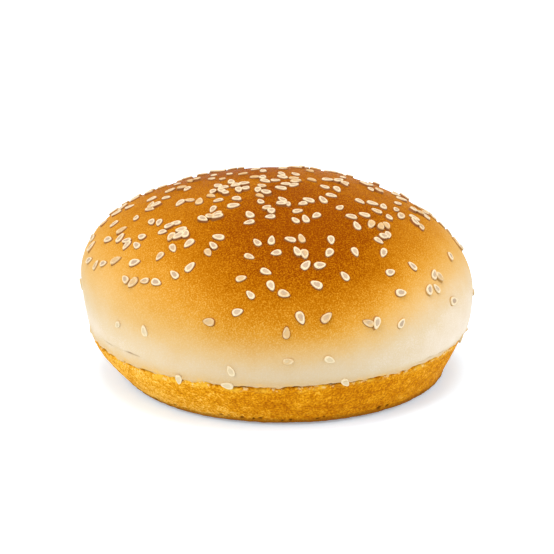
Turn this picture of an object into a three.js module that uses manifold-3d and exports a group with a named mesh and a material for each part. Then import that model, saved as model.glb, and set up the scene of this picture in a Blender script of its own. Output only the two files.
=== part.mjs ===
// A soft round bread roll of the kind baked in a shallow pan cup: a low dome over a pale belly,
// a brown foot with tapered walls below the pan line, and sesame seeds stuck to the glaze.
// Millimetres, +Z up. The origin is the middle of the underside.
import * as THREE from "three";
import { ConvexGeometry } from "three/addons/geometries/ConvexGeometry.js";
import { mergeVertices } from "three/addons/utils/BufferGeometryUtils.js";
import Module from "manifold-3d";

// Driving dimensions of the dough
const CROWN_RADIUS = 51.5; // at the widest ring of the belly
const TOTAL_HEIGHT = 51.6;
const WIDEST_HEIGHT = 24.7;
const PAN_LINE_HEIGHT = 12.9; // where the rim of the pan cup was
const PAN_LINE_RADIUS = 49.5;
const FOOT_RADIUS = 41.6; // the tapered wall's radius at the underside
const FOOT_EDGE = 1.7; // rounding where the wall meets the underside
const WALL_CONVEXITY = 1.3; // 1 is a straight cone
const GROOVE_DEPTH = 0.7; // crease under the belly, along the pan line
const GROOVE_HEIGHT = 0.9;
const DOME_EXPONENT = 1.96; // 2 is an ellipse
const BELLY_EXPONENT = 1.6;

// How the real roll departs from a turned shape
const FOOT_SHIFT = 2.1; // the foot's centre lies to the right of the belly's
const PAN_LINE_SHIFT = 0.4;
const APEX_SHIFT = -1.0; // the top leans to the left
const PAN_LINE_TILT = 0.014; // rise per millimetre to the right
const BELLY_TILT = -0.05; // the right of the belly hangs lower
const WALL_SWELL = 0.06; // the left wall bulges, the right wall is hollow
const PLAN_UNEVENNESS = [0.005, 0.004, 0.0025]; // shares of the radius, for two, three and five lobes
const DENT_DEPTH = 0.2; // shallow dents of the dome

// Facets
const AROUND = 36;
const DOME_STEPS = 11;
const BELLY_STEPS = 3;
const WALL_STEPS = 2;
const EDGE_STEPS = 2;

// Sesame seeds
const SEED_LENGTH = 2.95;
const SEED_WIDTH = 2.02;
const SEED_BLUNTNESS = 0.9; // 1 is as blunt at both ends
const SEED_TAPER = [1.06, 0.66]; // width factors at the blunt end and at the point
const SEED_RISE = 0.6; // height of its top above the crust
const SEED_RIM = 0.28; // height of its widest ring
const SEED_ROOT = 1.6; // how far it reaches down
const SEED_TOP_SCALE = 0.6; // its flat top against its outline
const SEED_RIM_SHARES = [0.05, 0.5, 1]; // where its outline has corners, by share of its length
const SEED_TOP_SHARES = [0.1, 1];
const SEED_SIZE_SPREAD = 0.12;
const SEED_LEAN = 0.14; // radians
const COMPANION_SHARE = 0.3; // seeds that fell next to the one before, where they lie thickest
const COMPANION_REACH = [1.8, 3.0];
const CLOSEST_SEEDS = 1.6;
const SEED_SPACING = 2.8; // least gap of the others on the dome
const STACK_REACH = 2.5; // a seed this close to another rides up on it
const STACK_LIFT = 0.3;
const SPARSE_SHARE = 0.18; // how thickly they lie at the widest ring, against the top
const DENSE_ANGLE = 65; // degrees up the dome from where on they lie as thickly as on the top
const SEED_ZONES = [
  // The crust from the top down to the pan line, by angle up the dome or the belly: how many seeds
  // each zone holds, and the number that its draw starts from
  { pointOf: domePoint, low: 0.95, high: Math.PI / 2 - 0.02, seeds: 103, start: 1811513352 },
  { pointOf: domePoint, low: 0.55, high: 0.95, seeds: 118, start: 1975914462 },
  { pointOf: domePoint, low: 0.01, high: 0.55, seeds: 74, start: 15065813 },
  { pointOf: bellyPoint, low: 0.7, high: 1.4, seeds: 10, start: 889366588 },
  { pointOf: bellyPoint, low: 0.12, high: 0.12, seeds: 10, start: 1467094477 },
];
const LEHMER_FACTOR = 16807;
const LEHMER_PRIME = 2147483647;

const clamp = (value) => Math.min(1, Math.max(0, value));

// The radius and height of the dome above the widest ring, by angle from 0 to a quarter turn.
function domePoint(angle) {
  const power = 2 / DOME_EXPONENT;
  return new THREE.Vector2(
    CROWN_RADIUS * Math.abs(Math.cos(angle)) ** power,
    WIDEST_HEIGHT + (TOTAL_HEIGHT - WIDEST_HEIGHT) * Math.sin(angle) ** power,
  );
}

// The belly between the pan line and the widest ring.
function bellyPoint(angle) {
  const power = 2 / BELLY_EXPONENT;
  return new THREE.Vector2(
    PAN_LINE_RADIUS + (CROWN_RADIUS - PAN_LINE_RADIUS) * Math.sin(angle) ** power,
    PAN_LINE_HEIGHT + (WIDEST_HEIGHT - PAN_LINE_HEIGHT) * (1 - Math.abs(Math.cos(angle)) ** power),
  );
}

// The tapered wall that the pan cup formed, by share of the pan line's height.
function wallPoint(share) {
  const out = 1 - (1 - share) ** WALL_CONVEXITY;
  return new THREE.Vector2(
    FOOT_RADIUS + (PAN_LINE_RADIUS - FOOT_RADIUS) * out,
    PAN_LINE_HEIGHT * share,
  );
}

// The turned outline, from the middle of the underside to the top of the dome.
function outline() {
  const points = [new THREE.Vector2(0, 0)];
  const wallStart = FOOT_EDGE / PAN_LINE_HEIGHT;
  const wallEnd = 1 - GROOVE_HEIGHT / PAN_LINE_HEIGHT;
  const edgeTop = wallPoint(wallStart);
  for (let i = 0; i < EDGE_STEPS; i++) {
    const angle = ((i / EDGE_STEPS) * Math.PI) / 2;
    points.push(
      new THREE.Vector2(
        edgeTop.x - 2 * FOOT_EDGE * (1 - Math.sin(angle)),
        FOOT_EDGE * (1 - Math.cos(angle)),
      ),
    );
  }
  for (let i = 0; i <= WALL_STEPS; i++) {
    points.push(wallPoint(wallStart + ((wallEnd - wallStart) * i) / WALL_STEPS));
  }
  points.push(
    new THREE.Vector2(PAN_LINE_RADIUS - GROOVE_DEPTH, PAN_LINE_HEIGHT - GROOVE_HEIGHT / 3),
  );
  for (let i = 0; i < BELLY_STEPS; i++) {
    points.push(bellyPoint(((i / BELLY_STEPS) * Math.PI) / 2));
  }
  for (let i = 0; i < DOME_STEPS; i++) {
    points.push(domePoint(((i / DOME_STEPS) * Math.PI) / 2));
  }
  points.push(new THREE.Vector2(0, TOTAL_HEIGHT));
  return points;
}

// Moves a point of the turned shape to where the uneven dough has it.
function settle(point) {
  const { x, y, z } = point;
  const foot = clamp(z / PAN_LINE_HEIGHT);
  const crown = clamp((z - PAN_LINE_HEIGHT) / (TOTAL_HEIGHT - PAN_LINE_HEIGHT));
  const widest = (WIDEST_HEIGHT - PAN_LINE_HEIGHT) / (TOTAL_HEIGHT - PAN_LINE_HEIGHT);
  const bellyShare = Math.sin(Math.PI * crown ** (Math.log(0.5) / Math.log(widest)));
  const around = Math.atan2(y, x);
  const [two, three, five] = PLAN_UNEVENNESS;
  const plan =
    1 + two * Math.sin(2 * around) + three * Math.sin(3 * around + 0.4) + five * Math.sin(5 * around);
  const shift = FOOT_SHIFT * (1 - foot) + PAN_LINE_SHIFT * foot * (1 - crown) + APEX_SHIFT * crown;
  const swell = ((WALL_SWELL * x * x) / CROWN_RADIUS) * foot * (1 - foot);
  const rise = x * (PAN_LINE_TILT * foot * (1 - crown) + BELLY_TILT * bellyShare);
  const dent = DENT_DEPTH * crown * Math.sin(x / 9 + 0.8) * Math.sin(y / 11 + 0.3);
  return new THREE.Vector3(x * plan + shift - swell, y * plan, z + rise + dent);
}

// A closed solid for joining, from any geometry whose faces point out.
function solidOf(wasm, geometry) {
  const bare = new THREE.BufferGeometry();
  bare.setAttribute("position", geometry.getAttribute("position"));
  if (geometry.index) {
    bare.setIndex(geometry.index);
  }
  const merged = mergeVertices(bare, 1e-4);
  const corners = [];
  for (let i = 0; i < merged.index.count; i += 3) {
    const [a, b, c] = [0, 1, 2].map((k) => merged.index.getX(i + k));
    if (a !== b && b !== c && c !== a) {
      corners.push(a, b, c);
    }
  }
  return new wasm.Manifold(
    new wasm.Mesh({
      numProp: 3,
      vertProperties: new Float32Array(merged.getAttribute("position").array),
      triVerts: new Uint32Array(corners),
    }),
  );
}

function dough() {
  const turned = new THREE.LatheGeometry(outline(), AROUND);
  turned.rotateX(Math.PI / 2);
  const position = turned.getAttribute("position");
  for (let i = 0; i < position.count; i++) {
    const settled = settle(new THREE.Vector3().fromBufferAttribute(position, i));
    position.setXYZ(i, settled.x, settled.y, settled.z);
  }
  return turned;
}

// A point of the crust and the way out of it there, by angle round and angle up the dome or belly.
function crustAt(pointOf, around, up) {
  const place = (turn, climb) => {
    const p = pointOf(climb);
    return settle(new THREE.Vector3(p.x * Math.cos(turn), p.x * Math.sin(turn), p.y));
  };
  const step = 1e-3;
  const here = place(around, up);
  const sideways = place(around + step, up).sub(place(around - step, up));
  const upwards = place(around, up + step).sub(place(around, up - step));
  return { here, out: sideways.cross(upwards).normalize() };
}

// The same row of numbers for every run.
function drawer(seed) {
  let state = seed;
  return () => {
    state = (state * LEHMER_FACTOR) % LEHMER_PRIME;
    return state / LEHMER_PRIME;
  };
}

// How thickly the seeds lie at this angle up the dome, against the top.
function thickness(up) {
  return SPARSE_SHARE + (1 - SPARSE_SHARE) * clamp(up / THREE.MathUtils.degToRad(DENSE_ANGLE));
}

// The share of the throws at this angle up the dome that stay, from the area there and how thickly
// the seeds lie.
function keepShare(up) {
  const squash = (TOTAL_HEIGHT - WIDEST_HEIGHT) / CROWN_RADIUS;
  const area = Math.cos(up) * Math.hypot(Math.sin(up), squash * Math.cos(up));
  return 2 * area * thickness(up);
}

// Throws seeds on one zone, clear of those that lie there already.
function fill(zone, seeds) {
  const { pointOf, low, high } = zone;
  const random = drawer(zone.start);
  const full = seeds.length + zone.seeds;
  let last = null;
  while (seeds.length < full) {
    let around = 2 * Math.PI * random();
    let up = low + (high - low) * random();
    let room = CLOSEST_SEEDS;
    if (pointOf === domePoint) {
      if (random() >= keepShare(up)) {
        continue;
      }
      room = SEED_SPACING;
      if (last && random() < COMPANION_SHARE * thickness(up)) {
        const [least, most] = COMPANION_REACH;
        const reach = least + (most - least) * random();
        const way = 2 * Math.PI * random();
        around = last.around + (reach * Math.cos(way)) / domePoint(last.up).x;
        up = last.up + (reach * Math.sin(way)) / CROWN_RADIUS;
        up = Math.min(high, Math.max(low, up));
        room = CLOSEST_SEEDS;
      }
    }
    const { here, out } = crustAt(pointOf, around, up);
    const gap = seeds.reduce((least, other) => Math.min(least, other.here.distanceTo(here)), Infinity);
    if (gap < room) {
      continue;
    }
    last = {
      here,
      out,
      around,
      up,
      turn: 2 * Math.PI * random(),
      size: 1 + SEED_SIZE_SPREAD * (2 * random() - 1),
      lean: SEED_LEAN * (2 * random() - 1),
      lift: gap < STACK_REACH ? STACK_LIFT : 0,
    };
    seeds.push(last);
  }
}

// Where every seed lies: its place, the way out of the crust, its turn, size, lean and lift.
function scatter() {
  const seeds = [];
  for (const zone of SEED_ZONES) {
    fill(zone, seeds);
  }
  return seeds;
}

// Half the width of a teardrop with its point at +X, by share of its length.
function seedHalfWidth(share) {
  const roundness = Math.sqrt(Math.max(0, 1 - (1 - 2 * share ** SEED_BLUNTNESS) ** 2));
  const [blunt, point] = SEED_TAPER;
  return (SEED_WIDTH / 2) * roundness * (blunt + (point - blunt) * share);
}

// A seed lying flat, its heights counted from the crust. Under the rim it tapers into the dough.
function seedGeometry() {
  const points = [new THREE.Vector3(0, 0, -SEED_ROOT)];
  const ring = (scale, height, shares) => {
    for (const share of shares) {
      const x = (share - 0.5) * SEED_LENGTH * scale;
      const y = seedHalfWidth(share) * scale;
      points.push(new THREE.Vector3(x, y, height));
      if (y > 0) {
        points.push(new THREE.Vector3(x, -y, height));
      }
    }
  };
  ring(1, SEED_RIM, SEED_RIM_SHARES);
  ring(SEED_TOP_SCALE, SEED_RISE, SEED_TOP_SHARES);
  return new ConvexGeometry(points);
}

function placed(geometry, seed) {
  const out = seed.out;
  const ahead = new THREE.Vector3(0, 0, 1).cross(out);
  if (ahead.lengthSq() < 1e-6) {
    ahead.set(1, 0, 0);
  }
  ahead.normalize().applyAxisAngle(out, seed.turn);
  const across = out.clone().cross(ahead);
  const matrix = new THREE.Matrix4().makeBasis(ahead, across, out);
  const lean = new THREE.Matrix4().makeRotationY(seed.lean);
  const size = new THREE.Matrix4().makeScale(seed.size, seed.size, seed.size);
  const centre = seed.here.clone().addScaledVector(out, seed.lift);
  return geometry
    .clone()
    .applyMatrix4(matrix.multiply(lean).multiply(size).setPosition(centre));
}

async function build() {
  const wasm = await Module();
  wasm.setup();
  const seed = seedGeometry();
  let whole = solidOf(wasm, dough());
  for (const spot of scatter()) {
    whole = whole.add(solidOf(wasm, placed(seed, spot)));
  }
  const mesh = whole.getMesh();
  const geometry = new THREE.BufferGeometry();
  geometry.setAttribute("position", new THREE.BufferAttribute(mesh.vertProperties, 3));
  geometry.setIndex(new THREE.BufferAttribute(mesh.triVerts, 1));
  geometry.computeVertexNormals();
  const crust = new THREE.MeshStandardMaterial({ color: 0xc98a3c, roughness: 0.55, metalness: 0 });
  const roll = new THREE.Mesh(geometry, crust);
  roll.name = "bread_roll";
  const group = new THREE.Group();
  group.add(roll);
  return group;
}

export default await build();
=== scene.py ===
"""Looks of a round, sesame-seeded bread roll: its crust with the pan line and the pitted foot, the
seeds on the glaze, and a plain studio with a camera at the photograph's angle.

Lengths are worked out in millimetres, as in the solid's own source, and the meshes are in metres.
"""
import itertools
import math

import bpy
import numpy as np
from mathutils import Matrix, Vector


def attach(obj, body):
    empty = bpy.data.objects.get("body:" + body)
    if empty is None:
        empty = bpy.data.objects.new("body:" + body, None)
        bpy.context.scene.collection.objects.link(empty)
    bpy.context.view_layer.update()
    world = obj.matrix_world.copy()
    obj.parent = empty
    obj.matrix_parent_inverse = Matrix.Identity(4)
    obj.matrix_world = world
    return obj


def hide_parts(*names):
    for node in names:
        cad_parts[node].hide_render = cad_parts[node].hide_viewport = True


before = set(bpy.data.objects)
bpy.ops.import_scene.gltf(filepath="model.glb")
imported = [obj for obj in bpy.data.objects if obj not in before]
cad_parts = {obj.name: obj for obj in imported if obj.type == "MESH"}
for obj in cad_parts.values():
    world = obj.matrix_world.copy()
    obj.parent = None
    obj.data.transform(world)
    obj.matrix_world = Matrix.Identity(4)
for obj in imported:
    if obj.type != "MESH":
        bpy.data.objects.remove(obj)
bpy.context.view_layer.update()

MM = 0.001

# The dough's form, the same as the solid's
CROWN_RADIUS = 51.5
TOTAL_HEIGHT = 51.6
WIDEST_HEIGHT = 24.7
PAN_LINE_HEIGHT = 12.9
PAN_LINE_RADIUS = 49.5
FOOT_RADIUS = 41.6
FOOT_EDGE = 1.7
WALL_CONVEXITY = 1.3
DOME_EXPONENT = 1.96
BELLY_EXPONENT = 1.6
FOOT_SHIFT = 2.1
PAN_LINE_SHIFT = 0.4
APEX_SHIFT = -1.0
PAN_LINE_TILT = 0.014
BELLY_TILT = -0.05
WALL_SWELL = 0.06
PLAN_UNEVENNESS = (0.005, 0.004, 0.0025)
DENT_DEPTH = 0.2

# Where the seeds lie, the same as on the solid
SEED_LENGTH = 2.95
SEED_WIDTH = 2.02
SEED_BLUNTNESS = 0.9
SEED_TAPER = (1.06, 0.66)
SEED_SIZE_SPREAD = 0.12
SEED_LEAN = 0.14
COMPANION_SHARE = 0.3
COMPANION_REACH = (1.8, 3.0)
CLOSEST_SEEDS = 1.6
SEED_SPACING = 2.8
STACK_REACH = 2.5
STACK_LIFT = 0.3
SPARSE_SHARE = 0.18
DENSE_ANGLE = 65
SEED_ZONES = (  # on the dome or the belly, lowest and highest angle, how many, and the draw's start
    ("dome", 0.95, math.pi / 2 - 0.02, 103, 1811513352),
    ("dome", 0.55, 0.95, 118, 1975914462),
    ("dome", 0.01, 0.55, 74, 15065813),
    ("belly", 0.7, 1.4, 10, 889366588),
    ("belly", 0.12, 0.12, 10, 1467094477),
)
LEHMER_FACTOR = 16807
LEHMER_PRIME = 2147483647

# The seeds' own form, finer than the solid's
SEED_ROUND = 26
SEED_RINGS = (  # share of the outline, height, how much it is rim, and how much glaze and painted contact shadow
    (0.28, 0.43, 0.0, 0.0),
    (0.50, 0.44, 0.2, 0.0),
    (0.66, 0.49, 0.7, 0.0),
    (0.79, 0.55, 1.0, 0.0),
    (0.90, 0.52, 1.0, 0.0),
    (0.97, 0.42, 1.0, 0.0),
    (1.0, 0.27, 0.8, 0.35),
    (0.99, 0.13, 0.4, 0.8),
    (1.0, 0.05, 0.1, 0.95),
    (1.09, 0.02, 0.0, 1.0),
    (1.16, -0.06, 0.0, 1.0),
    (1.18, -0.25, 0.0, 1.0),
)
SEED_WIDTH_SPREAD = 0.08
BARE_FILLET = (0.7, 0.8)  # bare dough has no glaze round a seed: the fillet's width factor, how far it sinks
BARE_FLATNESS = 0.7  # and the seed is pressed in
LINE_SEED_REACH = 1.0  # seeds lower than this over the pan line stand on its ragged edge
LINE_SEED_SLANT = 0.35  # and face a little downwards
LINE_SEED_PRESS = 0.25  # pressed this far into the edge's highest flakes
LINE_SEED_WAY = (-1.2, 1.5)  # which part of the edge such a seed covers, up and down it
LINE_SEED_TURN = 0.03  # and to either side

# Detail that the solid leaves out. A band is its middle and its width, along the outline from the
# ragged pan line.
LIP_HEIGHT = 0.45  # flaky edge of the belly where it came over the pan's rim
LIP_BAND = (0.42, 0.36)
CRACK_DEPTH = 0.9  # gap under that edge
CRACK_BAND = (-0.2, 0.28)
COLLAR_HEIGHT = 0.25  # bulge of the foot right under the gap
COLLAR_BAND = (-1.2, 0.6)
CREASES = ((-51, 12, 2.6), (52, 12, 1.9), (150, 16, 2.4))  # second creases: side, spread, gap above the line
CREASE_DEPTH = 0.35
CREASE_WIDTH = 0.22
LINE_WOBBLE = 0.7  # how far the edge runs up and down
FOOT_GRAIN = 0.1
PIT_DEPTH = 0.2
EDGE_HOLE_DEPTH = 0.7  # of the holes at the foot's rounded bottom edge
EDGE_HOLE_BAND = (-0.1, 0.9)  # from where that edge starts
WRINKLE_DEPTH = 0.09
BLISTER_HEIGHT = 0.16
PIN_HOLE_DEPTH = 0.4

# Browning, in millimetres up the dough and degrees round it from the front
BROWN_HEIGHT = 39.2  # half-way from pale to deep brown, at the sides
FRONT_SIDE = 1.5  # in front the brown comes lower
FRONT_SPREAD = 35
FRONT_DROP = 11.8
BACK_SPREAD = 60  # and at the back a little
BACK_DROP = 5.0
FADE_HEIGHT = 6.2  # how softly pale turns to brown
FADE_SKEW = (0.6, 1.6)  # sharper on the right, and sharpest right of the front
BROWN_START = (13, 25)  # it sets in between these heights
TOP_PAINTED_SHEEN = 0.05  # the very top is painted a little lighter again: painted sheen
TOP_PAINTED_SHEEN_START = (46, 51)
WAIST_SIDE = -8  # the pale waist is tanned in front
WAIST_SPREAD = 60
WAIST_BAKE = 0.15
WAIST_BACK_BAKE = 0.06  # and a little at the back
LINE_BAKE = 0.13  # and all round along the pan line
LINE_BAKE_REACH = 1.9
PAINTED_SHADE_SIDE = 4  # low in front the pale dough is painted darker than at the sides: painted shade
PAINTED_SHADE_SPREAD = 40
PAINTED_SHADE_START = (28, 15)
WAIST_PAINTED_SHADE = 0.34
FOOT_TONE = 0.12  # how much lighter the foot is than its middle colour
FOOT_DARK_SIDE = 20  # where it is darker than that
FOOT_DARK_SPREAD = 42
FOOT_DARKENING = 0.17
FOOT_PALE_SIDE = -50  # where it is lighter
FOOT_PALE_SPREAD = 32
FOOT_PALING = 0.16
FOOT_LOW_SIDE = -30  # and where it is painted lighter towards the bottom: painted light against the shade near the floor
FOOT_LOW_SPREAD = 40
FOOT_LOW_START = (7, 1.5)
FOOT_LOW_PAINTED_LIGHT = 0.12

# Colours, linear, from pale dough to deep brown glaze
GLAZE = (
    (0.0, (0.76, 0.64, 0.53)),
    (0.12, (0.655, 0.49, 0.30)),
    (0.25, (0.64, 0.395, 0.152)),
    (0.4, (0.605, 0.318, 0.07)),
    (0.55, (0.545, 0.236, 0.021)),
    (0.7, (0.44, 0.155, 0.004)),
    (0.85, (0.345, 0.102, 0.0004)),
    (1.0, (0.21, 0.041, 0.0001)),
)
FOOT_CRUST = (
    (0.0, (0.33, 0.082, 0.001)),
    (0.3, (0.48, 0.150, 0.002)),
    (0.5, (0.60, 0.220, 0.003)),
    (0.7, (0.73, 0.315, 0.009)),
    (1.0, (0.90, 0.52, 0.10)),
)
FOOT_EDGE_SHADE = (0.26, 0.09, 0.006)  # the darker baked edge of the underside
LINE_BAND = (0.80, 0.44, 0.04)  # yellower patches right under the pan line
FLAKE = (0.78, 0.54, 0.24)  # pale dough that came off the belly
LINE_STAIN = (0.70, 0.40, 0.09)  # brown that crept over the line
# painted shade in cracks, pits and holes, darker the deeper they are
CRACK_PAINTED_SHADE = (0.15, 0.045, 0.003)
PAINTED_WAIST_SHADE_COLOUR = (0.40, 0.34, 0.26)  # the pale dough's colour where the painted shade is deepest
GLAZE_SHINE = (1.0, 0.62, 0.2)  # the brown glaze reflects warm
SEED_RIM_COLOUR = (0.72, 0.57, 0.365)
SEED_MIDDLE_COLOUR = (0.41, 0.29, 0.195)
SEED_TOASTED_COLOUR = (0.58, 0.37, 0.16)
SEED_GLAZE_AND_SHADE_COLOUR = (0.24, 0.07, 0.003)  # the glaze round a seed on brown crust, darkened as painted contact shadow
SEED_PALE_GLAZE_AND_SHADE_COLOUR = (0.50, 0.28, 0.07)  # and on pale crust, also darkened as painted contact shadow
SEED_BARE_COLOUR = (0.70, 0.54, 0.31)  # seeds below the glaze

# The photograph's view
CAMERA_DISTANCE = 600
CAMERA_ELEVATION = 18.02
CAMERA_LENS = 148.15
CAMERA_SENSOR = 36
TARGET_HEIGHT = 25.0

# The studio, in metres and watts
FLOOR_HALF = 6.0
FLOOR_GAP = 0.0002  # between the floor and the roll's underside
FLOOR_COLOUR = (0.76, 0.88, 0.98)
FLOOR_GLOW_COLOUR = (0.87, 1.0, 1.15)
FLOOR_GLOW = 0.29  # the floor is a faintly lit table
WORLD_GLOW = 0.6
LIGHT_TARGET = (0, 0, 0.025)
SOFTBOXES = (  # name, place, size, power
    ("overhead", (0, 0, 1.4), 1.0, 12.6),
    ("left", (-0.8, -0.7, 0.8), 0.8, 8.5),
    ("right", (0.95, -0.35, 0.6), 0.8, 4.8),
)

# Points that the outline is worked out at
EDGE_POINTS = 24
WALL_POINTS = 60
BELLY_POINTS = 160
DOME_POINTS = 800


def profile_dome(angle):
    """Radius and height of the dome, from 0 at its widest to a quarter turn at the top."""
    power = 2 / DOME_EXPONENT
    radius = CROWN_RADIUS * np.abs(np.cos(angle)) ** power
    height = WIDEST_HEIGHT + (TOTAL_HEIGHT - WIDEST_HEIGHT) * np.sin(angle) ** power
    return radius, height


def profile_belly(angle):
    """Radius and height of the belly, from 0 at the pan line to a quarter turn at its widest."""
    power = 2 / BELLY_EXPONENT
    radius = PAN_LINE_RADIUS + (CROWN_RADIUS - PAN_LINE_RADIUS) * np.sin(angle) ** power
    height = PAN_LINE_HEIGHT + (WIDEST_HEIGHT - PAN_LINE_HEIGHT) * (
        1 - np.abs(np.cos(angle)) ** power
    )
    return radius, height


def profile_wall(share):
    """Radius and height of the foot's wall, at that share of the pan line's height."""
    out = 1 - (1 - share) ** WALL_CONVEXITY
    return FOOT_RADIUS + (PAN_LINE_RADIUS - FOOT_RADIUS) * out, PAN_LINE_HEIGHT * share


def settle(x, y, z):
    """Moves points of the turned shape to where the uneven dough has them."""
    foot = np.clip(z / PAN_LINE_HEIGHT, 0, 1)
    crown = np.clip((z - PAN_LINE_HEIGHT) / (TOTAL_HEIGHT - PAN_LINE_HEIGHT), 0, 1)
    widest = (WIDEST_HEIGHT - PAN_LINE_HEIGHT) / (TOTAL_HEIGHT - PAN_LINE_HEIGHT)
    belly_share = np.sin(np.pi * crown ** (math.log(0.5) / math.log(widest)))
    around = np.arctan2(y, x)
    two, three, five = PLAN_UNEVENNESS
    plan = (
        1
        + two * np.sin(2 * around)
        + three * np.sin(3 * around + 0.4)
        + five * np.sin(5 * around)
    )
    shift = FOOT_SHIFT * (1 - foot) + PAN_LINE_SHIFT * foot * (1 - crown) + APEX_SHIFT * crown
    swell = WALL_SWELL * x * x / CROWN_RADIUS * foot * (1 - foot)
    rise = x * (PAN_LINE_TILT * foot * (1 - crown) + BELLY_TILT * belly_share)
    dent = DENT_DEPTH * crown * np.sin(x / 9 + 0.8) * np.sin(y / 11 + 0.3)
    return x * plan + shift - swell, y * plan, z + rise + dent


def lattice_value(cells, seed):
    """A number from 0 to 1 for each whole-numbered cell, always the same one."""
    mixed = (
        cells[..., 0] * 73856093 ^ cells[..., 1] * 19349663 ^ cells[..., 2] * 83492791 ^ seed * 2654435
    )
    mixed = (mixed ^ (mixed >> 13)) * 1274126177 & 0xFFFFFFFF
    mixed = (mixed ^ (mixed >> 16)) * 668265263 & 0xFFFFFFFF
    return ((mixed ^ (mixed >> 15)) & 0xFFFFFF) / 0xFFFFFF


def noise(points, cell, seed):
    """Smooth noise from -1 to 1 that changes over about one cell. Each seed gives another one."""
    scaled = points / cell
    base = np.floor(scaled).astype(np.int64)
    share = scaled - base
    share = share * share * (3 - 2 * share)
    total = np.zeros(points.shape[:-1])
    for corner in itertools.product((0, 1), repeat=3):
        weight = np.prod(np.where(np.array(corner) == 1, share, 1 - share), axis=-1)
        total += weight * (2 * lattice_value(base + np.array(corner), seed) - 1)
    return total


def pits(points, cell, size, share, seed):
    """Round pits from 0 to 1, at most one in each cell and in that share of the cells."""
    base = np.floor(points / cell).astype(np.int64)
    depth = np.zeros(points.shape[:-1])
    for corner in itertools.product((-1, 0, 1), repeat=3):
        cells = base + np.array(corner)
        centre = np.stack([lattice_value(cells, seed + k) for k in range(3)], axis=-1)
        away = np.linalg.norm(points - (cells + centre) * cell, axis=-1)
        wide = size * (0.5 + lattice_value(cells, seed + 3))
        present = lattice_value(cells, seed + 4) < share
        depth = np.maximum(depth, np.where(present, np.clip(1 - (away / wide) ** 2, 0, 1), 0))
    return depth


class Outline:
    """The dough's turned outline by the way along it, from the pan line: up is positive."""

    def __init__(self):
        edge_share = FOOT_EDGE / PAN_LINE_HEIGHT
        edge_top, _ = profile_wall(edge_share)
        turn = np.linspace(0, np.pi / 2, EDGE_POINTS)
        edge = (
            edge_top - 2 * FOOT_EDGE * (1 - np.sin(turn)),
            FOOT_EDGE * (1 - np.cos(turn)),
        )
        wall = profile_wall(np.linspace(edge_share, 1, WALL_POINTS + 1)[1:])
        belly = profile_belly(np.linspace(0, np.pi / 2, BELLY_POINTS + 1)[1:])
        dome = profile_dome(np.linspace(0, np.pi / 2, DOME_POINTS + 1)[1:])
        parts = [((0.0,), (0.0,)), edge, wall, belly, dome]
        radius = np.concatenate([np.asarray(p[0]) for p in parts])
        height = np.concatenate([np.asarray(p[1]) for p in parts])
        way = np.concatenate([[0], np.cumsum(np.hypot(np.diff(radius), np.diff(height)))])
        line = way[EDGE_POINTS + WALL_POINTS]
        self.way = way - line
        self.radius = radius
        self.height = height
        self.underside_end = self.way[1]
        self.wall_start = self.way[EDGE_POINTS]
        self.widest = self.way[EDGE_POINTS + WALL_POINTS + BELLY_POINTS]
        self.top = self.way[-1]

    def at(self, way):
        """Radius and height that far along."""
        return np.interp(way, self.way, self.radius), np.interp(way, self.way, self.height)


def ring_plan(outline):
    """The crust's rings from the middle of the underside to the top: way along the outline and
    how many points go round."""
    spans = [
        (outline.way[0] + 2.5, outline.underside_end - 6, 8, 200),
        (outline.underside_end - 6, outline.underside_end, 7, 400),
        (outline.underside_end, outline.wall_start, 10, 800),
        (outline.wall_start, -1.5, 32, 800),
        (-1.5, 1.6, 18, 800),
        (1.6, outline.widest, 24, 400),
        (outline.widest, outline.top - 14, 84, 400),
        (outline.top - 14, outline.top - 5, 14, 200),
        (outline.top - 5, outline.top - 0.8, 7, 100),
    ]
    rings = []
    for start, end, steps, around in spans:
        for i in range(steps):
            rings.append((start + (end - start) * i / steps, around))
    return rings


def surface_points(outline, way, turn):
    """Settled points of the smooth dough."""
    radius, height = outline.at(way)
    return np.stack(settle(radius * np.cos(turn), radius * np.sin(turn), height), axis=-1)


def outward(outline, way, turn):
    """The way out of the smooth dough."""
    step = 0.05
    along = surface_points(outline, way + step, turn) - surface_points(outline, way - step, turn)
    across = surface_points(outline, way, turn + 0.002) - surface_points(outline, way, turn - 0.002)
    out = np.cross(across, along)
    return out / np.maximum(np.linalg.norm(out, axis=-1, keepdims=True), 1e-9)


def bump_at(value, centre, width):
    """1 at the centre, falling off to 0 over about twice the width on either side."""
    return np.exp(-(((value - centre) / width) ** 2))


def smoothstep(low, high, value):
    """0 up to low and 1 from high on, smooth in between. low may be the larger of the two."""
    share = np.clip((value - low) / (high - low), 0, 1)
    return share * share * (3 - 2 * share)


def line_relief(way, turn):
    """The ragged pan line: height, way from the line itself, and how deep its cracks are. Its noise
    runs round the line."""
    rim = np.stack([np.cos(turn), np.sin(turn), np.zeros_like(turn)], axis=-1) * PAN_LINE_RADIUS
    wobble = LINE_WOBBLE * (0.5 * noise(rim, 9, 11) + 0.4 * noise(rim, 2.6, 12) + 0.25 * noise(rim, 1.1, 18))
    from_line = way - wobble
    ragged = 0.55 + 0.5 * noise(rim, 1.3, 13) + 0.35 * noise(rim, 4, 14)
    open_crack = np.clip(0.75 + 0.75 * noise(rim, 4.5, 15) + 0.45 * noise(rim, 1.4, 16), 0.1, 1.2)
    lip = LIP_HEIGHT * np.clip(ragged, 0.05, 1.3) * bump_at(from_line, *LIP_BAND)
    crack = open_crack * bump_at(from_line, *CRACK_BAND)
    collar = COLLAR_HEIGHT * bump_at(from_line, *COLLAR_BAND) * (0.6 + 0.6 * noise(rim, 2.3, 17))
    crease = np.zeros_like(way)
    for side, spread, gap in CREASES:
        broken = np.clip(0.9 + 0.6 * noise(rim, 2.5, 20), 0, 1) * bump_at(azimuth_of(turn), side, spread)
        crease += broken * bump_at(way - 0.5 * noise(rim, 6, 19), gap, CREASE_WIDTH)
    height = lip - CRACK_DEPTH * crack + collar - CREASE_DEPTH * crease
    return height, from_line, crack + 0.9 * crease


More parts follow.
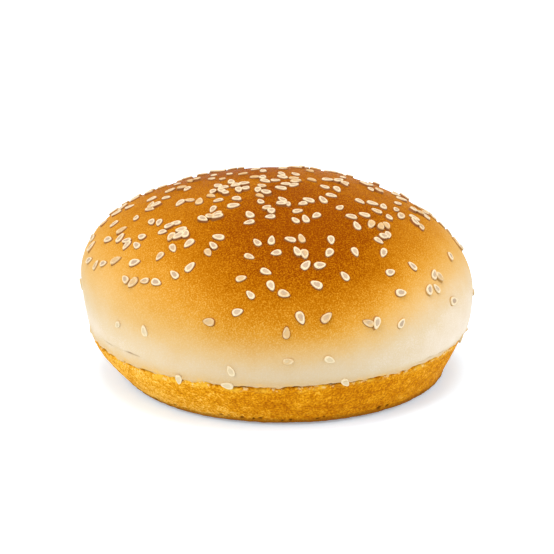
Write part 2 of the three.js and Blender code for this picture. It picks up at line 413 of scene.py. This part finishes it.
def foot_relief(outline, way, points, from_line):
    """The pitted wall under the line: height and how deep its pores are."""
    on_foot = smoothstep(0.1, -0.5, from_line) * smoothstep(-2, 2, way - outline.underside_end)
    grain = 0.8 * noise(points, 1.7, 21) + 0.7 * noise(points, 0.8, 22) + 0.5 * noise(points, 4.5, 23)
    pores = pits(points, 1.9, 0.38, 0.4, 31)
    near_edge = bump_at(way - outline.wall_start, *EDGE_HOLE_BAND)
    holes = pits(points, 1.7, 0.6, 0.9, 41) * near_edge
    height = FOOT_GRAIN * grain - PIT_DEPTH * pores - EDGE_HOLE_DEPTH * holes
    return on_foot * height, on_foot * (0.45 * pores + 2.2 * holes)


def crown_relief(outline, way, points):
    """Fine wrinkles, blisters and pin holes of the glazed dome."""
    on_crown = smoothstep(outline.widest - 2, outline.widest + 12, way)
    stretched = points * np.array([1.0, 0.55, 1.0])
    gathered = np.clip(noise(points, 14, 52) + 0.1, 0, 1)
    wrinkles = np.clip(1.4 * noise(stretched, 3.2, 51) * gathered, -0.2, 1)
    blisters = pits(points, 11, 1.1, 0.35, 61)
    pin_holes = pits(points, 15, 0.5, 0.3, 81)
    height = BLISTER_HEIGHT * blisters - WRINKLE_DEPTH * wrinkles - PIN_HOLE_DEPTH * pin_holes
    return on_crown * height, 1.2 * on_crown * pin_holes


def crust_relief(outline, way, turn, points):
    """Height of the fine relief, where the ragged line runs, and how deep pits and cracks are."""
    line, from_line, cracked = line_relief(way, turn)
    foot, pored = foot_relief(outline, way, points, from_line)
    crown, holed = crown_relief(outline, way, points)
    return line + foot + crown, from_line, np.clip(cracked + pored + holed, 0, 1.5)


def azimuth_of(turn):
    """Degrees round the roll from the front, to the viewer's right."""
    return np.degrees(np.arctan2(np.cos(turn), -np.sin(turn)))


def browning(turn, points, height):
    """How far the glaze is baked, from 0 for pale dough to 1 for deep brown. The brown comes lowest
    where the roll faced the heat, here the front, and a little lower again at the back. At the very
    top it is lowered a little as painted sheen."""
    azimuth = azimuth_of(turn)
    front = bump_at(azimuth, FRONT_SIDE, FRONT_SPREAD)
    back = bump_at(np.abs(azimuth), 180, BACK_SPREAD)
    middle = BROWN_HEIGHT - FRONT_DROP * front - BACK_DROP * back
    once, twice = FADE_SKEW
    softness = FADE_HEIGHT - once * np.sin(np.radians(azimuth)) - twice * np.sin(np.radians(2 * azimuth))
    uneven = 1.0 * noise(points, 13, 66) + 0.7 * noise(points, 5.5, 89)
    level = 1 / (1 + np.exp(-(height + uneven - middle) / softness))
    waist = WAIST_BAKE * bump_at(azimuth, WAIST_SIDE, WAIST_SPREAD) + WAIST_BACK_BAKE * back
    waist += LINE_BAKE * bump_at(height, PAN_LINE_HEIGHT, LINE_BAKE_REACH)
    level = waist + (1.03 - waist) * level * smoothstep(*BROWN_START, height)
    # the very top is lowered a little: painted sheen
    return level - TOP_PAINTED_SHEEN * smoothstep(*TOP_PAINTED_SHEEN_START, height) + 0.02 * noise(points, 3, 73)


def painted_waist_shade(turn, height):
    """How far painted shade darkens the pale dough, low in front."""
    front = bump_at(azimuth_of(turn), PAINTED_SHADE_SIDE, PAINTED_SHADE_SPREAD)
    return WAIST_PAINTED_SHADE * front * smoothstep(*PAINTED_SHADE_START, height)


def foot_tone(turn, points):
    """How much lighter the foot's crust is than its middle colour, and less than 0 where darker.
    Low on the left it is also painted lighter: painted light against the shade near the floor.
    """
    azimuth = azimuth_of(turn)
    dark = FOOT_DARKENING * bump_at(azimuth, FOOT_DARK_SIDE, FOOT_DARK_SPREAD)
    pale = FOOT_PALING * bump_at(azimuth, FOOT_PALE_SIDE, FOOT_PALE_SPREAD)
    # painted light low on the left, against the shade near the floor
    low = smoothstep(*FOOT_LOW_START, points[:, 2]) * bump_at(azimuth, FOOT_LOW_SIDE, FOOT_LOW_SPREAD)
    return FOOT_TONE - dark + pale + FOOT_LOW_PAINTED_LIGHT * low + 0.07 * noise(points, 8, 91)


def bridge(lower, upper):
    """Faces between two rings of vertex numbers, where one may have twice as many as the other."""
    few, many = (lower, upper) if len(lower) <= len(upper) else (upper, lower)
    turned = len(lower) > len(upper)
    faces = []
    count = len(few)
    if len(many) == count:
        for i in range(count):
            j = (i + 1) % count
            faces.append((lower[i], lower[j], upper[j], upper[i]))
        return faces
    for i in range(count):
        j = (i + 1) % count
        a, b, c = many[2 * i], many[2 * i + 1], many[2 * j]
        fan = [(few[i], b, a), (few[i], few[j], b), (few[j], c, b)]
        faces.extend(tuple(reversed(face)) if turned else face for face in fan)
    return faces


def crust_faces(rings, top, bottom):
    """Faces from ring to ring, closed at the top point and at the bottom one."""
    faces = []
    start = 0
    before = None
    for _, around in rings:
        ring = list(range(start, start + around))
        start += around
        if before is None:
            faces.extend((bottom, ring[(i + 1) % around], ring[i]) for i in range(around))
        else:
            faces.extend(bridge(before, ring))
        before = ring
    count = len(before)
    faces.extend((before[i], before[(i + 1) % count], top) for i in range(count))
    return faces


def crust_mesh(outline):
    """The whole crust as one closed mesh, and its named values."""
    rings = ring_plan(outline)
    way = np.concatenate([np.full(around, w) for w, around in rings])
    turn = np.concatenate([np.arange(around) * 2 * np.pi / around for _, around in rings])
    smooth = surface_points(outline, way, turn)
    out = outward(outline, way, turn)
    relief, from_line, depth = crust_relief(outline, way, turn, smooth)
    points = smooth + out * relief[:, None]
    points[:, 2] = np.maximum(points[:, 2], 0)
    apex = surface_points(outline, np.array([outline.top]), np.array([0.0]))
    middle = surface_points(outline, np.array([outline.way[0]]), np.array([0.0]))
    points = np.concatenate([points, apex, middle])
    turned_height = np.append(outline.at(way)[1], [TOTAL_HEIGHT, 0])
    all_way = np.append(way, [outline.top, outline.way[0]])
    all_turn = np.append(turn, [0, 0])
    values = {
        "bake": browning(all_turn, points, turned_height),
        "dull": painted_waist_shade(all_turn, turned_height),
        "foot_tone": foot_tone(all_turn, points),
        "from_line": np.append(from_line, [outline.top, outline.way[0]]),
        "from_edge": all_way - outline.wall_start,
        "depth": np.append(depth, [0, 0]),
    }
    faces = crust_faces(rings, len(points) - 2, len(points) - 1)
    return points, faces, values


def add_mesh(name, points, faces, values, material):
    """A smooth piece from points in millimetres, with its named values kept on them."""
    mesh = bpy.data.meshes.new(name)
    mesh.from_pydata((points * MM).tolist(), [], faces)
    mesh.polygons.foreach_set("use_smooth", [True] * len(mesh.polygons))
    for key, value in values.items():
        layer = mesh.attributes.new(key, "FLOAT", "POINT")
        layer.data.foreach_set("value", np.asarray(value, dtype=np.float32))
    mesh.validate()
    mesh.update()
    piece = bpy.data.objects.new(name, mesh)
    bpy.context.scene.collection.objects.link(piece)
    mesh.materials.append(material)
    return piece


class Drawer:
    """The same row of numbers as the solid's source draws."""

    def __init__(self, seed):
        self.state = seed

    def __call__(self):
        self.state = self.state * LEHMER_FACTOR % LEHMER_PRIME
        return self.state / LEHMER_PRIME


def place_on(profile, around, up):
    radius, height = profile(up)
    return Vector(settle(radius * math.cos(around), radius * math.sin(around), height))


def crust_at(profile, around, up):
    """A point of the crust and the way out of it there."""
    step = 1e-3
    sideways = place_on(profile, around + step, up) - place_on(profile, around - step, up)
    upwards = place_on(profile, around, up + step) - place_on(profile, around, up - step)
    return place_on(profile, around, up), sideways.cross(upwards).normalized()


def thickness(up):
    """How thickly the seeds lie at this angle up the dome, against the top."""
    return SPARSE_SHARE + (1 - SPARSE_SHARE) * min(1, max(0, up / math.radians(DENSE_ANGLE)))


def keep_share(up):
    """The share of the throws at this angle up the dome that stay."""
    squash = (TOTAL_HEIGHT - WIDEST_HEIGHT) / CROWN_RADIUS
    area = math.cos(up) * math.hypot(math.sin(up), squash * math.cos(up))
    return 2 * area * thickness(up)


def fill(zone, seeds):
    """Throws seeds on one zone, clear of those that lie there already, as the solid's source does."""
    part, low, high, count, start = zone
    profile = profile_dome if part == "dome" else profile_belly
    random = Drawer(start)
    full = len(seeds) + count
    last = None
    while len(seeds) < full:
        around = 2 * math.pi * random()
        up = low + (high - low) * random()
        room = CLOSEST_SEEDS
        if part == "dome":
            if random() >= keep_share(up):
                continue
            room = SEED_SPACING
            if last and random() < COMPANION_SHARE * thickness(up):
                least, most = COMPANION_REACH
                reach = least + (most - least) * random()
                way = 2 * math.pi * random()
                around = last["around"] + reach * math.cos(way) / float(profile_dome(last["up"])[0])
                up = last["up"] + reach * math.sin(way) / CROWN_RADIUS
                up = min(high, max(low, up))
                room = CLOSEST_SEEDS
        here, out = crust_at(profile, around, up)
        gap = min(((here - other["here"]).length for other in seeds), default=math.inf)
        if gap < room:
            continue
        last = {
            "here": here,
            "out": out,
            "around": around,
            "up": up,
            "turn": 2 * math.pi * random(),
            "size": 1 + SEED_SIZE_SPREAD * (2 * random() - 1),
            "lean": SEED_LEAN * (2 * random() - 1),
            "lift": STACK_LIFT if gap < STACK_REACH else 0,
            "bare": part == "belly",
            "height": float(profile(up)[1]),
        }
        seeds.append(last)


def scatter():
    """Where every seed lies, drawn as in the solid's source."""
    seeds = []
    for zone in SEED_ZONES:
        fill(zone, seeds)
    return seeds


def seed_half_width(share):
    """Half a seed's width at that share of the way from its blunt end to its point."""
    roundness = np.sqrt(np.maximum(0, 1 - (1 - 2 * share**SEED_BLUNTNESS) ** 2))
    blunt, point = SEED_TAPER
    return SEED_WIDTH / 2 * roundness * (blunt + (point - blunt) * share)


def seed_template():
    """One seed lying flat with its point at +X: rings from the sunken middle of the top, over the
    rounded rim and down, and a fillet of glaze round it, darkened as painted contact shadow, that
    runs into the crust. Heights count from the crust."""
    turn = np.arange(SEED_ROUND) * 2 * np.pi / SEED_ROUND
    share = (1 + np.cos(turn)) / 2
    half = seed_half_width(share) * np.sign(np.sin(turn))
    points = [(0, 0, SEED_RINGS[0][1])]
    rim = [0.0]
    glaze = [0.0]
    for scale, height, rimness, glazed in SEED_RINGS:
        for s, h in zip(share, half):
            points.append(((s - 0.5) * SEED_LENGTH * scale, h * scale, height))
            rim.append(rimness)
            glaze.append(glazed)
    faces = [(0, 1 + i, 1 + (i + 1) % SEED_ROUND) for i in range(SEED_ROUND)]
    for r in range(len(SEED_RINGS) - 1):
        for i in range(SEED_ROUND):
            j = (i + 1) % SEED_ROUND
            a = 1 + r * SEED_ROUND
            b = a + SEED_ROUND
            faces.append((a + i, b + i, b + j, a + j))
    return np.array(points), faces, np.array(rim), np.array(glaze)


def line_lift(around):
    """How far a seed at the pan line is held out by the ragged edge under it."""
    turns = around + np.linspace(-LINE_SEED_TURN, LINE_SEED_TURN, 7)
    way, turn = np.meshgrid(np.linspace(*LINE_SEED_WAY, 10), turns)
    height, _, _ = line_relief(way.ravel(), turn.ravel())
    return max(0.0, float(height.max()) - LINE_SEED_PRESS)


def seed_stance(seed):
    """Which way a seed faces and how far it is held out."""
    if seed["height"] >= PAN_LINE_HEIGHT + LINE_SEED_REACH:
        return seed["out"], seed["lift"]
    around = seed["around"]
    out = Vector((math.cos(around), math.sin(around), -LINE_SEED_SLANT)).normalized()
    return out, line_lift(around)


def seed_axes(out, turn):
    """The axes of a seed that faces out: X runs to its point."""
    ahead = Vector((0, 0, 1)).cross(out)
    if ahead.length_squared < 1e-6:
        ahead = Vector((1, 0, 0))
    ahead = Matrix.Rotation(turn, 3, out) @ ahead.normalized()
    return Matrix((ahead, out.cross(ahead), out)).transposed()


def seed_points(seed, number, template, on_crust):
    """One seed's points in place. Its width differs a little by its number."""
    place = np.array([[number, 7, 3]])
    narrow = 1 + SEED_WIDTH_SPREAD * (2 * lattice_value(place, 72)[0] - 1)
    thick = BARE_FLATNESS if seed["bare"] else 1
    shape = template * np.array([1, narrow, thick]) * seed["size"]
    narrower, sunk = BARE_FILLET if seed["bare"] else (1, 0)
    fillet = shape * np.array([narrower, narrower, 1]) - np.array([0, 0, sunk])
    out, lift = seed_stance(seed)
    axes = seed_axes(out, seed["turn"])
    lean = Matrix.Rotation(seed["lean"], 3, "Y")
    lying = fillet @ np.array(axes).T + np.array(seed["here"])
    leaning = shape @ np.array(axes @ lean).T + np.array(seed["here"] + out * lift)
    return np.where(on_crust, lying, leaning)


def seeds_mesh():
    """All seeds as one mesh. Each leans and rides up as on the solid, but its fillet stays on the
    crust."""
    template, template_faces, template_rim, template_glaze_and_shade = seed_template()
    on_crust = template_glaze_and_shade[:, None] == 1
    seeds = scatter()
    baked = browning(
        np.array([seed["around"] for seed in seeds]),
        np.array([seed["here"] for seed in seeds]),
        np.array([seed["height"] for seed in seeds]),
    )
    points, faces, values = [], [], {"rim": [], "glazed": [], "tone": [], "bake": [], "bare": []}
    for number, seed in enumerate(seeds):
        tone = lattice_value(np.array([[number, 7, 3]]), 71)[0]
        start = number * len(template)
        points.append(seed_points(seed, number, template, on_crust))
        faces.extend(tuple(v + start for v in face) for face in template_faces)
        values["rim"].append(template_rim)
        values["glazed"].append(template_glaze_and_shade)
        values["tone"].append(np.full(len(template), tone))
        values["bake"].append(np.full(len(template), baked[number]))
        values["bare"].append(np.full(len(template), float(seed["bare"])))
    values = {name: np.concatenate(parts) for name, parts in values.items()}
    return np.concatenate(points), faces, values


class Shader:
    """A material's node tree, written as expressions."""

    def __init__(self, name):
        self.material = bpy.data.materials.new(name)
        self.material.use_nodes = True
        self.nodes = self.material.node_tree.nodes
        self.links = self.material.node_tree.links
        self.nodes.clear()
        output = self.nodes.new("ShaderNodeOutputMaterial")
        self.surface = self.nodes.new("ShaderNodeBsdfPrincipled")
        self.links.new(self.surface.outputs["BSDF"], output.inputs["Surface"])
        self.place = self.nodes.new("ShaderNodeTexCoord").outputs["Object"]

    def feed(self, socket, value):
        """Links another node's output to a socket, or sets the socket's own value."""
        if isinstance(value, bpy.types.NodeSocket):
            self.links.new(value, socket)
        elif isinstance(value, tuple) and len(value) == 3:
            socket.default_value = (*value, 1)
        else:
            socket.default_value = value

    def value(self, name):
        """One of the values kept on the mesh's points."""
        node = self.nodes.new("ShaderNodeAttribute")
        node.attribute_name = name
        return node.outputs["Fac"]

    def noise(self, size_mm, detail=2, roughness=0.5):
        """Smooth noise about 0.5, with features of about that size."""
        node = self.nodes.new("ShaderNodeTexNoise")
        self.links.new(self.place, node.inputs["Vector"])
        node.inputs["Scale"].default_value = 1 / (size_mm * MM)
        node.inputs["Detail"].default_value = detail
        node.inputs["Roughness"].default_value = roughness
        return node.outputs["Fac"]

    def math(self, operation, first, second=0.0):
        node = self.nodes.new("ShaderNodeMath")
        node.operation = operation
        self.feed(node.inputs[0], first)
        self.feed(node.inputs[1], second)
        return node.outputs["Value"]

    def add(self, first, second):
        return self.math("ADD", first, second)

    def scaled(self, value, factor):
        return self.math("MULTIPLY", value, factor)

    def spread(self, value, low, high, to_low=0.0, to_high=1.0):
        """value taken from low..high to to_low..to_high, smoothly and held at the ends."""
        node = self.nodes.new("ShaderNodeMapRange")
        node.interpolation_type = "SMOOTHSTEP"
        self.feed(node.inputs["Value"], value)
        node.inputs["From Min"].default_value = low
        node.inputs["From Max"].default_value = high
        node.inputs["To Min"].default_value = to_low
        node.inputs["To Max"].default_value = to_high
        return node.outputs["Result"]

    def ramp(self, value, stops):
        """The colour at that value along the stops."""
        node = self.nodes.new("ShaderNodeValToRGB")
        self.feed(node.inputs["Fac"], value)
        elements = node.color_ramp.elements
        while len(elements) < len(stops):
            elements.new(0.5)
        for element, (position, colour) in zip(elements, stops):
            element.position = position
            element.color = (*colour, 1)
        return node.outputs["Color"]

    def mix(self, share, first, second):
        """first where the share is 0 and second where it is 1."""
        node = self.nodes.new("ShaderNodeMix")
        node.data_type = "RGBA"
        self.feed(node.inputs["Factor"], share)
        self.feed(node.inputs["A"], first)
        self.feed(node.inputs["B"], second)
        return next(o for o in node.outputs if o.type == "RGBA")

    def bump(self, height, distance_mm, strength=1.0):
        node = self.nodes.new("ShaderNodeBump")
        node.inputs["Strength"].default_value = strength
        node.inputs["Distance"].default_value = distance_mm * MM
        self.feed(node.inputs["Height"], height)
        self.links.new(node.outputs["Normal"], self.surface.inputs["Normal"])

    def set(self, socket, value):
        self.feed(self.surface.inputs[socket], value)


def glaze_colour(shader, bake, from_line):
    """Pale dough to deep brown glaze, with fine golden specks, painted shade on the pale dough low in
    front, and stained here and there right over the pan line."""
    speckle = shader.add(
        shader.spread(shader.noise(0.33, 2, 0.6), 0.4, 0.7, 0.09, -0.2),
        shader.spread(shader.noise(1.5, 2), 0.3, 0.7, -0.02, 0.02),
    )
    speckle = shader.scaled(speckle, shader.spread(bake, 0.1, 0.9, 0.15, 1))
    glaze = shader.ramp(shader.add(bake, speckle), GLAZE)
    # painted shade on the pale dough low in front
    glaze = shader.mix(shader.value("dull"), glaze, PAINTED_WAIST_SHADE_COLOUR)
    stain = shader.spread(from_line, 1.3, 0.1)
    stain = shader.scaled(stain, shader.spread(shader.noise(2.6, 2), 0.48, 0.66, 0, 0.8))
    return shader.mix(stain, glaze, LINE_STAIN)


def foot_colour(shader, from_line):
    """Grainy golden crust, with a yellow band and pale flakes under the pan line and a dark bottom
    edge."""
    granules = shader.add(
        shader.spread(shader.noise(0.55, 3, 0.65), 0.32, 0.68, 0.16, 0.69),
        shader.spread(shader.noise(2.4, 3, 0.6), 0.3, 0.7, -0.13, 0.13),
    )
    foot = shader.ramp(shader.add(granules, shader.value("foot_tone")), FOOT_CRUST)
    band = shader.spread(from_line, -2.4, -0.8)
    band = shader.scaled(band, shader.spread(shader.noise(3.2, 2), 0.4, 0.65, 0, 0.7))
    foot = shader.mix(band, foot, LINE_BAND)
    flakes = shader.spread(from_line, -1.6, -0.5)
    flakes = shader.scaled(flakes, shader.spread(shader.noise(1.5, 3, 0.6), 0.54, 0.64, 0, 0.8))
    foot = shader.mix(flakes, foot, FLAKE)
    edge = shader.spread(shader.value("from_edge"), 0.9, -0.6, 0, 0.85)
    return shader.mix(edge, foot, FOOT_EDGE_SHADE)


def crust_material():
    """The crust: glaze above the pan line, the foot's crust below it, and painted shade in cracks and pits.
    """
    shader = Shader("crust")
    bake = shader.value("bake")
    jitter = shader.spread(shader.noise(0.9), 0, 1, -0.35, 0.35)
    from_line = shader.add(shader.value("from_line"), jitter)
    on_foot = shader.spread(from_line, 0.05, -0.2)
    glaze = glaze_colour(shader, bake, from_line)
    colour = shader.mix(on_foot, glaze, foot_colour(shader, from_line))
    # painted shade in cracks, pits and holes, by how deep they are
    shade = shader.spread(shader.value("depth"), 0.2, 1.0, 0, 0.85)
    shader.set("Base Color", shader.mix(shade, colour, CRACK_PAINTED_SHADE))
    shader.set("Roughness", shader.spread(bake, 0.1, 0.9, 0.62, 0.45))
    shader.set("Specular IOR Level", 0.01)
    shader.set("Specular Tint", GLAZE_SHINE)
    grain = shader.add(
        shader.scaled(shader.noise(0.5, 3, 0.6), shader.spread(on_foot, 0, 1, 0.25, 1.0)),
        shader.scaled(shader.noise(1.4, 2), shader.spread(on_foot, 0, 1, 0.3, 1.2)),
    )
    shader.bump(grain, 0.25, 0.8)
    return shader.material


def seed_material():
    """Pale rim, sunken darker middle, some seeds toasted, and glaze up the sides on the crown,
    darkened as painted contact shadow.
    """
    shader = Shader("sesame")
    tone = shader.value("tone")
    bare = shader.value("bare")
    middle = shader.mix(shader.spread(tone, 0.3, 1.0, 0, 0.25), SEED_MIDDLE_COLOUR, SEED_RIM_COLOUR)
    middle = shader.mix(shader.scaled(bare, 0.6), middle, SEED_BARE_COLOUR)
    edge = shader.mix(shader.scaled(bare, 0.5), SEED_RIM_COLOUR, SEED_BARE_COLOUR)
    rim = shader.add(shader.value("rim"), shader.spread(shader.noise(0.5, 2), 0.3, 0.7, -0.2, 0.2))
    colour = shader.mix(shader.spread(rim, 0.2, 0.85), middle, edge)
    uneven = shader.spread(shader.noise(1.2), 0, 1, -0.3, 0.3)
    toast = shader.spread(shader.add(tone, uneven), 0.38, -0.1)
    colour = shader.mix(toast, colour, SEED_TOASTED_COLOUR)
    on_brown = shader.spread(shader.value("bake"), 0.15, 0.6)
    # glaze round the seed and up its lower sides, dark as painted contact shadow
    glaze = shader.mix(on_brown, SEED_PALE_GLAZE_AND_SHADE_COLOUR, SEED_GLAZE_AND_SHADE_COLOUR)
    glazed = shader.spread(shader.value("glazed"), 0.1, 0.8, 0, 0.9)
    glazed = shader.scaled(glazed, shader.spread(bare, 0, 1, 1, 0.15))
    shader.set("Base Color", shader.mix(glazed, colour, glaze))
    shader.set("Roughness", 0.5)
    shader.set("Specular IOR Level", 0.04)
    shader.bump(shader.noise(0.5, 2), 0.06, 0.7)
    return shader.material


def floor_material():
    shader = Shader("studio_floor")
    shader.set("Base Color", FLOOR_COLOUR)
    shader.set("Roughness", 1.0)
    shader.set("Specular IOR Level", 0.0)
    shader.set("Emission Color", FLOOR_GLOW_COLOUR)
    shader.set("Emission Strength", FLOOR_GLOW)
    return shader.material


def add_floor():
    mesh = bpy.data.meshes.new("studio_floor")
    half = FLOOR_HALF
    corners = [(-half, -half, 0), (half, -half, 0), (half, half, 0), (-half, half, 0)]
    mesh.from_pydata(corners, [], [(0, 1, 2, 3)])
    floor = bpy.data.objects.new("studio_floor", mesh)
    floor.location.z = -FLOOR_GAP
    bpy.context.scene.collection.objects.link(floor)
    mesh.materials.append(floor_material())


def add_softbox(name, place, size, power):
    light = bpy.data.lights.new(name, "AREA")
    light.shape = "DISK"
    light.size = size
    light.energy = power
    lamp = bpy.data.objects.new(name, light)
    lamp.location = place
    aim = Vector(LIGHT_TARGET) - Vector(place)
    lamp.rotation_euler = aim.to_track_quat("-Z", "Y").to_euler()
    bpy.context.scene.collection.objects.link(lamp)


def add_studio():
    world = bpy.data.worlds.new("studio")
    bpy.context.scene.world = world
    world.use_nodes = True
    background = world.node_tree.nodes["Background"]
    background.inputs["Color"].default_value = (1, 1, 1, 1)
    background.inputs["Strength"].default_value = WORLD_GLOW
    add_floor()
    for name, place, size, power in SOFTBOXES:
        add_softbox(name, place, size, power)


def add_camera():
    elevation = math.radians(CAMERA_ELEVATION)
    camera = bpy.data.objects.new("camera", bpy.data.cameras.new("camera"))
    camera.data.lens = CAMERA_LENS
    camera.data.sensor_width = CAMERA_SENSOR
    target = Vector((0, 0, TARGET_HEIGHT)) * MM
    back = Vector((0, -math.cos(elevation), math.sin(elevation)))
    camera.location = target + back * CAMERA_DISTANCE * MM
    camera.rotation_euler = (-back).to_track_quat("-Z", "Y").to_euler()
    bpy.context.scene.collection.objects.link(camera)
    bpy.context.scene.camera = camera


outline = Outline()
crust = add_mesh("crust", *crust_mesh(outline), crust_material())
sesame = add_mesh("sesame_seeds", *seeds_mesh(), seed_material())
for piece, slot in ((crust, "crust"), (sesame, "sesame")):
    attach(piece, "root")
    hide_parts("bread_roll")

add_studio()
add_camera()
bpy.context.scene.view_settings.view_transform = "Standard"
